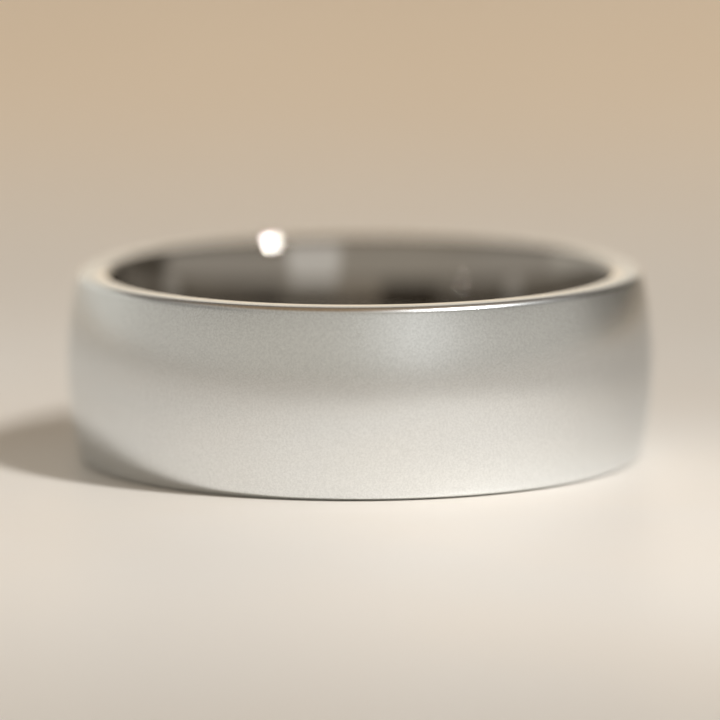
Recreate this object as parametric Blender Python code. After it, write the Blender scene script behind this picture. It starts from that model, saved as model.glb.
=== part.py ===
"""A plain domed wedding band with a comfort-fit bore, turned from one piece of metal.

Units are metres. The finger's axis is Z, and the origin is on it, halfway across the band.
The cross-section is a crowned outer face and a crowned inner face, each a single arc, joined
at both rims by a rounded edge, a narrow flat land and another rounded edge. Every arc is
tangent to its neighbour, so the section has no sharp corner. It is spun once round Z.
"""

import math

import bmesh
import bpy

BAND_WIDTH = 0.0070
OUTER_DIAMETER = 0.0220
BORE_DIAMETER = 0.01814  # US ring size 8, measured halfway across the band

CROWN_RADIUS = 0.01175  # the arc of the domed outer face
SHOULDER_RADIUS = 0.00030  # the soft outer edge between the dome and the land
LAND_WIDTH = 0.00050  # the flat ring on each side, where the band rests
INNER_EDGE_RADIUS = 0.00035  # the eased edge between the land and the bore

SEGMENTS_ROUND = 96
CROWN_STEPS = 12
SHOULDER_STEPS = 5
INNER_EDGE_STEPS = 3
BORE_STEPS = 6

METAL_COLOUR = (0.60, 0.585, 0.56, 1.0)
METAL_ROUGHNESS = 0.38

SHARP_EDGE_ANGLE = math.radians(40.0)


def clear_scene():
    for item in list(bpy.data.objects):
        bpy.data.objects.remove(item, do_unlink=True)


def arc(centre, radius, start, end, steps):
    """Points on a circle in the (radius, height) plane, both ends included."""
    angles = [start + (end - start) * i / steps for i in range(steps + 1)]
    return [(centre[0] + radius * math.cos(a), centre[1] + radius * math.sin(a)) for a in angles]


def outer_face():
    """The dome and its two shoulders, from the lower land up to the upper land."""
    half = BAND_WIDTH / 2
    crown_centre = OUTER_DIAMETER / 2 - CROWN_RADIUS
    rise = half - SHOULDER_RADIUS
    run = math.sqrt((CROWN_RADIUS - SHOULDER_RADIUS) ** 2 - rise**2)
    shoulder_centre = crown_centre + run
    meeting = math.atan2(rise, run)
    quarter = math.pi / 2
    lower = arc((shoulder_centre, -rise), SHOULDER_RADIUS, -quarter, -meeting, SHOULDER_STEPS)
    crown = arc((crown_centre, 0.0), CROWN_RADIUS, -meeting, meeting, CROWN_STEPS)
    upper = arc((shoulder_centre, rise), SHOULDER_RADIUS, meeting, quarter, SHOULDER_STEPS)
    return lower + crown[1:-1] + upper, shoulder_centre


def inner_face(land_outer_radius):
    """The comfort-fit bore and its two eased edges, from the upper land down to the lower.

    The bore's arc passes through the ring size halfway across the band, and its radius is
    the one that makes it tangent to both eased edges.
    """
    half = BAND_WIDTH / 2
    edge_centre = land_outer_radius - LAND_WIDTH
    bore = BORE_DIAMETER / 2
    rise = half - INNER_EDGE_RADIUS
    reach = edge_centre - bore
    bore_arc = (reach**2 + rise**2 - INNER_EDGE_RADIUS**2) / (2 * (reach - INNER_EDGE_RADIUS))
    bore_centre = bore + bore_arc
    meeting = math.atan2(rise, bore_centre - edge_centre)
    quarter = math.pi / 2
    turn = math.pi
    upper = arc((edge_centre, rise), INNER_EDGE_RADIUS, quarter, turn - meeting, INNER_EDGE_STEPS)
    face = arc((bore_centre, 0.0), bore_arc, turn - meeting, turn + meeting, BORE_STEPS)
    lower = arc((edge_centre, -rise), INNER_EDGE_RADIUS, turn + meeting, turn + quarter,
                INNER_EDGE_STEPS)
    return upper + face[1:-1] + lower


def section():
    outer, land_outer_radius = outer_face()
    return outer + inner_face(land_outer_radius)


def spin_round_axis(name, outline):
    """A closed body: the outline, a loop of (radius, height) points, spun a full turn."""
    bm = bmesh.new()
    verts = [bm.verts.new((radius, 0.0, height)) for radius, height in outline]
    edges = [bm.edges.new(pair) for pair in zip(verts, verts[1:] + verts[:1])]
    bmesh.ops.spin(bm, geom=verts + edges, cent=(0.0, 0.0, 0.0), axis=(0.0, 0.0, 1.0),
                   angle=2 * math.pi, steps=SEGMENTS_ROUND, use_merge=True)
    bmesh.ops.recalc_face_normals(bm, faces=bm.faces[:])
    mesh = bpy.data.meshes.new(name)
    bm.to_mesh(mesh)
    bm.free()
    mesh.shade_smooth()
    mesh.set_sharp_from_angle(angle=SHARP_EDGE_ANGLE)
    return mesh


def band_metal():
    material = bpy.data.materials.new("band_metal")
    material.use_nodes = True
    surface = material.node_tree.nodes["Principled BSDF"]
    surface.inputs["Base Color"].default_value = METAL_COLOUR
    surface.inputs["Metallic"].default_value = 1.0
    surface.inputs["Roughness"].default_value = METAL_ROUGHNESS
    return material


def make_band():
    mesh = spin_round_axis("band", section())
    mesh.materials.append(band_metal())
    band = bpy.data.objects.new("band", mesh)
    bpy.context.scene.collection.objects.link(band)


clear_scene()
make_band()
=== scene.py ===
"""The looks of the wedding band: one turned ring, satin outside, polished on its rims and bore.

The visible band is a finer turning of the CAD section. Its outer size, width, lands and bore are
read from the CAD band, so it stands exactly in that band's place. Units are metres and watts,
angles named here are degrees, and the finger's axis is Z. The camera looks along +Y.
"""

import math
from collections import namedtuple

import bmesh
import bpy
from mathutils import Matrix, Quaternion, Vector


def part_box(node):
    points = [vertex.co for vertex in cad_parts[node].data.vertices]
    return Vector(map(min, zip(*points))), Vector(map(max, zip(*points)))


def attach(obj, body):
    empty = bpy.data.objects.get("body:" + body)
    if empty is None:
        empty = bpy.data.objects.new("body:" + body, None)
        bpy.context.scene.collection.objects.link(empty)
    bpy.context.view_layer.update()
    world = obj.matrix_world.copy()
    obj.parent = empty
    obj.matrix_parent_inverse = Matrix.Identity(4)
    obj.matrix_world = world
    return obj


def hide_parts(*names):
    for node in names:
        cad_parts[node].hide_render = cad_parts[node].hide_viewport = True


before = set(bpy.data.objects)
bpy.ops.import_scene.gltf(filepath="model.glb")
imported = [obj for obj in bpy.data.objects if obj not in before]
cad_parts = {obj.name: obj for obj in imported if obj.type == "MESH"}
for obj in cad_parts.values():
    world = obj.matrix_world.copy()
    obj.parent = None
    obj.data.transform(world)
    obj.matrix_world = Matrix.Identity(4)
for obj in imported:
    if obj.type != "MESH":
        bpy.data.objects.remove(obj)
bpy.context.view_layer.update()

NODE = "band"
BODY = "root"

# The section's two kinds of rounded edge; the rest of it follows from the CAD band. A point of
# that band counts as being on its upper land if it is within the tolerance of the top.
SHOULDER_RADIUS = 0.00030
INNER_EDGE_RADIUS = 0.00035
LAND_TOLERANCE = 0.00001
SEGMENTS_ROUND = 384
STEP_LENGTH = 0.00011  # along the dome and the bore
EDGE_STEP_LENGTH = 0.000035  # along the rounded edges

# The camera stands well back with a long lens, a little above the table, and focuses on the
# part of the band nearest to it.
CAMERA_DISTANCE = 0.2
CAMERA_ELEVATION = 8.6
CAMERA_LIFT = 0.00003
CAMERA_ROLL = -0.21
CAMERA_LENS = 265.4
CAMERA_FSTOP = 24.0
CAMERA_CLIP = (0.005, 3.0)
NEAR_FACE_REACH = 0.0098

# The metal. Where it changes is given by distance from the finger's axis, or by facing: 1 where
# the surface looks straight away from that axis, -1 where it looks straight at it.
SATIN_FROM_AXIS = (0.00988, 0.01006)
# Facing limits over which the polished colour darkens into painted shade towards the bore.
PAINTED_BORE_SHADE_FACING = (-0.15, -0.6)
LIGHT_SATIN = (0.89, 0.925, 0.95, 1)
DARK_SATIN = (0.79, 0.82, 0.84, 1)
POLISH_COLOUR = (0.80, 0.79, 0.775, 1)
# The bore and its inner edges get a darker colour than the polished rims: painted shade inside the
# ring, where the real metal is the same as on the rims.
BORE_PAINTED_SHADE_COLOUR = (0.46, 0.44, 0.415, 1)
POLISH_ROUGHNESS = 0.05
SATIN_ROUGHNESS = 0.25
SATIN_ROUGHNESS_SPREAD = 0.06
SATIN_STRETCH = 0.97  # how much further the satin spreads light round the band than across it
STRETCH_FACING = (0.88, 0.965)
GRAIN = {"Scale": 15000.0, "Detail": 2.0, "Roughness": 0.6}
GRAIN_TONES = (0.34, 0.66)
GRAIN_DEPTH = 0.000002
CLOUDS = {"Scale": 420.0, "Detail": 3.0}

# The floor, a little mottled and warmer towards the back.
FLOOR_RADIUS = 1.1
FLOOR_SEGMENTS = 128
FLOOR_COLOUR = (0.75, 0.72, 0.68, 1)
FAR_FLOOR_COLOUR = (0.88, 0.70, 0.50, 1)
FAR_FLOOR_BEHIND = (0.02, 0.16)
FLOOR_ROUGHNESS = (0.38, 0.44)
MOTTLE = {"Scale": 60.0, "Detail": 4.0}
MOTTLE_TONES = (0.3, 0.7)
MOTTLE_STRENGTH = 0.12

# The key light and the two lamps that throw pools of light on the floor shine from one
# direction: (azimuth, elevation). A pool's centre is its place on the floor.
KEY_DIRECTION = (60, 55)
KEY_DISTANCE = 1.0
KEY_SIZE = 0.08
KEY_ENERGY = 4.6
KEY_COLOUR = (1.0, 0.99, 0.97)
POOL_DISTANCE = 0.5
POOL_LAMP_SIZE = 0.02
Pool = namedtuple("Pool", "name energy radius blend centre")
POOLS = (
    Pool("pool_light", energy=2.1, radius=0.040, blend=0.12, centre=(-0.020, -0.006)),
    Pool("core_light", energy=8.6, radius=0.020, blend=1.0, centre=(0.012, -0.022)),
)

# The room's colours, by where a reflection looks, each with the two limits between which it
# takes over from the colours before it. A limit is along the look's unit vector: its part
# across (to the camera's right), its part away from the camera, or its part up.
ROOM_FRONT = (0.50, 0.455, 0.385, 1)
ROOM_SIDES = (0.50, 0.46, 0.40, 1)
LEFT_SIDE_ACROSS = (-0.65, -0.95)
RIGHT_SIDE_ACROSS = (0.3, 0.62)
ROOM_ABOVE = (0.45, 0.41, 0.35, 1)
ABOVE_UP = (0.12, 0.45)
ROOM_ABOVE_SIDES = (0.27, 0.25, 0.22, 1)
ABOVE_SIDES_ACROSS = (0.4, 0.8)
LOW_BACKDROP = (1.05, 0.88, 0.66, 1)
BACKDROP_AWAY = (0.12, 0.35)
BACKDROP = (0.74, 0.66, 0.55, 1)
BACKDROP_UP = (0.09, 0.15)
LEFT_BACKDROP = (0.70, 0.66, 0.58, 1)
LEFT_BACKDROP_ACROSS = (-0.15, -0.5)
RIGHT_BACKDROP = (0.10, 0.085, 0.065, 1)
RIGHT_BACKDROP_ACROSS = (0.15, 0.5)
ROOM_BEHIND_ABOVE = (0.16, 0.14, 0.12, 1)
BEHIND_ABOVE_UP = (0.42, 0.56)
ZENITH = (0.24, 0.155, 0.08, 1)
ZENITH_UP = (0.75, 0.95)

# A pale round card in the room, in front of the band: its (azimuth, elevation), and how many
# degrees from its middle it starts to show and shows in full.
CARD = (0.91, 0.875, 0.81, 1)
CARD_DIRECTION = (22, 13)
CARD_FROM_MIDDLE = (15, 10)

# Blender's Mix node keeps its own sockets for each kind of value: two inputs and the result.
MIX_SOCKETS = {"FLOAT": (2, 3, 0), "RGBA": (6, 7, 2)}


# ---------------------------------------------------------------- the band's section

def cad_section():
    """Outer radius, half width, bore radius and the upper land's two radii of the CAD band."""
    low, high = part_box(NODE)
    spots = [(math.hypot(v.co.x, v.co.y), v.co.z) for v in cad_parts[NODE].data.vertices]
    land = [radius for radius, height in spots if high.z - height < LAND_TOLERANCE]
    bore = min(radius for radius, height in spots)
    return high.x, (high.z - low.z) / 2, bore, min(land), max(land)


def crowning_arc(reach, rise, edge_radius):
    """Radius of the arc that crosses mid-width at its peak and is tangent to both rounded edges.

    reach is how far the peak stands beyond the edges' centres, and rise is how far those
    centres are from mid-width.
    """
    return (reach**2 + rise**2 - edge_radius**2) / (2 * (reach - edge_radius))


def arc_points(height, radius, start, end, step):
    """Points (across, up) on an arc whose centre is at across 0 and the given height."""
    count = max(2, math.ceil(abs(end - start) * radius / step))
    angles = [start + (end - start) * i / count for i in range(count + 1)]
    return [(radius * math.cos(a), height + radius * math.sin(a)) for a in angles]


def crowned_face(peak, edge_centre, rise, edge_radius, side):
    """One face of the section, from its lower land to its upper one: edge, long arc, edge.

    side is 1 for the outer face and -1 for the bore.
    """
    def placed(points, centre):
        return [(centre + side * x, z) for x, z in points]

    crown = crowning_arc(side * (peak - edge_centre), rise, edge_radius)
    crown_centre = peak - side * crown
    meeting = math.atan2(rise, side * (edge_centre - crown_centre))
    quarter = math.pi / 2
    lower = arc_points(-rise, edge_radius, -quarter, -meeting, EDGE_STEP_LENGTH)
    middle = arc_points(0, crown, -meeting, meeting, STEP_LENGTH)
    upper = arc_points(rise, edge_radius, meeting, quarter, EDGE_STEP_LENGTH)
    return placed(lower, edge_centre) + placed(middle[1:-1], crown_centre) + placed(upper, edge_centre)


def band_outline():
    outer, half, bore, land_inner, land_outer = cad_section()
    outside = crowned_face(outer, land_outer, half - SHOULDER_RADIUS, SHOULDER_RADIUS, 1)
    inside = crowned_face(bore, land_inner, half - INNER_EDGE_RADIUS, INNER_EDGE_RADIUS, -1)
    return outside + inside[::-1]


def turned_band():
    """The outline turned once round the finger's axis, as one closed mesh of four-sided faces."""
    outline = band_outline()
    turns = [2 * math.pi * i / SEGMENTS_ROUND for i in range(SEGMENTS_ROUND)]
    points = [(radius * math.cos(turn), radius * math.sin(turn), height)
              for turn in turns for radius, height in outline]
    faces = []
    for here in range(0, len(points), len(outline)):
        beyond = (here + len(outline)) % len(points)
        for low in range(len(outline)):
            high = (low + 1) % len(outline)
            faces.append((here + low, beyond + low, beyond + high, here + high))
    mesh = bpy.data.meshes.new("wedding_band")
    mesh.from_pydata(points, [], faces)
    mesh.shade_smooth()
    band = bpy.data.objects.new("wedding_band", mesh)
    bpy.context.scene.collection.objects.link(band)
    return band


# ---------------------------------------------------------------- materials

class Nodes:
    """A material's or a world's node tree, with short ways to add nodes and join them."""

    def __init__(self, tree):
        self.tree = tree

    def add(self, kind, inputs=None, **settings):
        node = self.tree.nodes.new(kind)
        for name, value in settings.items():
            setattr(node, name, value)
        self.feed(node, inputs or {})
        return node

    def feed(self, node, inputs):
        """Give each named input of the node its value, or link it to the output given for it."""
        for name, value in inputs.items():
            if isinstance(value, bpy.types.NodeSocket):
                self.tree.links.new(value, node.inputs[name])
            else:
                node.inputs[name].default_value = value

    def maths(self, operation, a, b=0.0):
        return self.add("ShaderNodeMath", {0: a, 1: b}, operation=operation).outputs[0]

    def vector_maths(self, operation, a, b=(0, 0, 0), result="Vector"):
        return self.add("ShaderNodeVectorMath", {0: a, 1: b}, operation=operation).outputs[result]

    def noise(self, place, settings):
        return self.add("ShaderNodeTexNoise", {"Vector": place, **settings}).outputs["Fac"]

    def ramp(self, value, limits, out=(0.0, 1.0)):
        """Map a value between the two limits to one between the two of out, eased at both ends."""
        inputs = {"Value": value, "From Min": limits[0], "From Max": limits[1],
                  "To Min": out[0], "To Max": out[1]}
        node = self.add("ShaderNodeMapRange", inputs, interpolation_type="SMOOTHSTEP")
        return node.outputs["Result"]

    def mix(self, share, a, b, kind="FLOAT"):
        first, second, result = MIX_SOCKETS[kind]
        node = self.add("ShaderNodeMix", {"Factor": share, first: a, second: b}, data_type=kind)
        return node.outputs[result]

    def mix_colour(self, share, a, b):
        return self.mix(share, a, b, "RGBA")


def new_material(name):
    material = bpy.data.materials.new(name)
    material.use_nodes = True
    return material, Nodes(material.node_tree), material.node_tree.nodes["Principled BSDF"]


def band_metal():
    material, n, surface = new_material("satin_and_polished_metal")
    place = n.add("ShaderNodeTexCoord").outputs["Object"]
    normal = n.add("ShaderNodeNewGeometry").outputs["Normal"]
    flat_place = n.vector_maths("MULTIPLY", place, (1, 1, 0))
    outward = n.vector_maths("NORMALIZE", flat_place)
    facing = n.vector_maths("DOT_PRODUCT", outward, normal, "Value")
    satin = n.ramp(n.vector_maths("LENGTH", flat_place, result="Value"), SATIN_FROM_AXIS)
    grain = n.noise(place, GRAIN)
    clouds = n.noise(place, CLOUDS)

    # Towards the bore the polished colour darkens into painted shade.
    polished = n.mix_colour(n.ramp(facing, PAINTED_BORE_SHADE_FACING), POLISH_COLOUR, BORE_PAINTED_SHADE_COLOUR)
    frosted = n.mix_colour(n.ramp(grain, GRAIN_TONES), DARK_SATIN, LIGHT_SATIN)
    cloudy = n.maths("ADD", SATIN_ROUGHNESS - SATIN_ROUGHNESS_SPREAD / 2,
                     n.maths("MULTIPLY", clouds, SATIN_ROUGHNESS_SPREAD))
    bump = n.add("ShaderNodeBump", {"Height": grain, "Distance": GRAIN_DEPTH, "Strength": satin})
    around = n.add("ShaderNodeTangent", direction_type="RADIAL", axis="Z")
    n.feed(surface, {
        "Base Color": n.mix_colour(satin, polished, frosted),
        "Metallic": 1.0,
        "Roughness": n.mix(satin, POLISH_ROUGHNESS, cloudy),
        "Normal": bump.outputs["Normal"],
        "Anisotropic": n.ramp(facing, STRETCH_FACING, (0.0, SATIN_STRETCH)),
        "Tangent": around.outputs["Tangent"],
    })
    return material


def floor_material():
    material, n, surface = new_material("pale_floor")
    place = n.add("ShaderNodeTexCoord").outputs["Object"]
    behind = n.add("ShaderNodeSeparateXYZ", {0: place}).outputs["Y"]
    mottle = n.noise(place, MOTTLE)
    tint = n.ramp(mottle, MOTTLE_TONES, (0.0, MOTTLE_STRENGTH))
    near = n.mix_colour(tint, FLOOR_COLOUR, FAR_FLOOR_COLOUR)
    n.feed(surface, {
        "Base Color": n.mix_colour(n.ramp(behind, FAR_FLOOR_BEHIND), near, FAR_FLOOR_COLOUR),
        "Roughness": n.ramp(mottle, MOTTLE_TONES, FLOOR_ROUGHNESS),
    })
    return material


# ---------------------------------------------------------------- the stage

def make_floor(height):
    bm = bmesh.new()
    bmesh.ops.create_circle(bm, cap_ends=True, segments=FLOOR_SEGMENTS, radius=FLOOR_RADIUS)
    mesh = bpy.data.meshes.new("floor")
    bm.to_mesh(mesh)
    bm.free()
    mesh.materials.append(floor_material())
    floor = bpy.data.objects.new("floor", mesh)
    floor.location.z = height
    bpy.context.scene.collection.objects.link(floor)


def direction(azimuth, elevation):
    """A unit vector; azimuth 0 is towards the camera and grows to its right."""
    a, e = math.radians(azimuth), math.radians(elevation)
    return Vector((math.sin(a) * math.cos(e), -math.cos(a) * math.cos(e), math.sin(e)))


def place_lamp(light, distance, aim=(0, 0, 0)):
    """Stand a lamp in the key light's direction, at a distance from what it is aimed at."""
    lamp = bpy.data.objects.new(light.name, light)
    towards = direction(*KEY_DIRECTION)
    lamp.location = Vector(aim) + towards * distance
    lamp.rotation_mode = "QUATERNION"
    lamp.rotation_quaternion = towards.to_track_quat("Z", "Y")
    bpy.context.scene.collection.objects.link(lamp)


def make_lights(floor_height):
    key = bpy.data.lights.new("key_light", "AREA")
    key.shape = "DISK"
    key.size = KEY_SIZE
    key.energy = KEY_ENERGY
    key.color = KEY_COLOUR
    place_lamp(key, KEY_DISTANCE)

    for pool in POOLS:
        light = bpy.data.lights.new(pool.name, "SPOT")
        light.energy = pool.energy
        light.color = KEY_COLOUR
        light.shadow_soft_size = POOL_LAMP_SIZE
        light.spot_size = 2 * math.atan(pool.radius / POOL_DISTANCE)
        light.spot_blend = pool.blend
        place_lamp(light, POOL_DISTANCE, (*pool.centre, floor_height))


def make_world():
    """A quiet room: even in front, with a pale warm backdrop low behind the band and dim above."""
    world = bpy.data.worlds.new("soft_room")
    world.use_nodes = True
    n = Nodes(world.node_tree)
    look = n.add("ShaderNodeTexCoord").outputs["Generated"]
    across, away, up = n.add("ShaderNodeSeparateXYZ", {0: look}).outputs

    sides = n.maths("MAXIMUM", n.ramp(across, LEFT_SIDE_ACROSS), n.ramp(across, RIGHT_SIDE_ACROSS))
    low = n.mix_colour(sides, ROOM_FRONT, ROOM_SIDES)
    above_sides = n.ramp(n.maths("ABSOLUTE", across), ABOVE_SIDES_ACROSS)
    high = n.mix_colour(above_sides, ROOM_ABOVE, ROOM_ABOVE_SIDES)
    room = n.mix_colour(n.ramp(up, ABOVE_UP), low, high)

    backdrop = n.mix_colour(n.ramp(up, BACKDROP_UP), LOW_BACKDROP, BACKDROP)
    backdrop = n.mix_colour(n.ramp(across, LEFT_BACKDROP_ACROSS), backdrop, LEFT_BACKDROP)
    backdrop = n.mix_colour(n.ramp(across, RIGHT_BACKDROP_ACROSS), backdrop, RIGHT_BACKDROP)
    behind = n.mix_colour(n.ramp(up, BEHIND_ABOVE_UP), backdrop, ROOM_BEHIND_ABOVE)

    walls = n.mix_colour(n.ramp(away, BACKDROP_AWAY), room, behind)
    colour = n.mix_colour(n.ramp(up, ZENITH_UP), walls, ZENITH)
    along_card = n.vector_maths("DOT_PRODUCT", look, direction(*CARD_DIRECTION), "Value")
    card = n.ramp(along_card, [math.cos(math.radians(angle)) for angle in CARD_FROM_MIDDLE])
    n.feed(world.node_tree.nodes["Background"], {"Color": n.mix_colour(card, colour, CARD)})
    bpy.context.scene.world = world


def make_camera(subject):
    camera = bpy.data.objects.new("camera", bpy.data.cameras.new("camera"))
    lens = camera.data
    lens.lens = CAMERA_LENS
    lens.clip_start, lens.clip_end = CAMERA_CLIP
    back = direction(0, CAMERA_ELEVATION)
    camera.location = back * CAMERA_DISTANCE + Vector((0, 0, CAMERA_LIFT))
    camera.rotation_mode = "QUATERNION"
    level = (-back).to_track_quat("-Z", "Y")
    camera.rotation_quaternion = level @ Quaternion((0, 0, 1), math.radians(CAMERA_ROLL))
    bpy.context.scene.collection.objects.link(camera)
    bpy.context.scene.camera = camera

    # The focus follows the camera wherever it is moved to.
    lens.dof.use_dof = True
    lens.dof.aperture_fstop = CAMERA_FSTOP
    focus = lens.dof.driver_add("focus_distance").driver
    focus.type = "SCRIPTED"
    reach = focus.variables.new()
    reach.name, reach.type = "reach", "LOC_DIFF"
    reach.targets[0].id = camera
    reach.targets[1].id = subject
    focus.expression = f"reach - {NEAR_FACE_REACH}"


# ---------------------------------------------------------------- build it

band = turned_band()
band.data.materials.append(band_metal())
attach(band, BODY)
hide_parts(NODE)

floor_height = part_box(NODE)[0].z
make_floor(floor_height)
make_world()
make_lights(floor_height)
make_camera(band)
bpy.context.scene.view_settings.view_transform = "Standard"
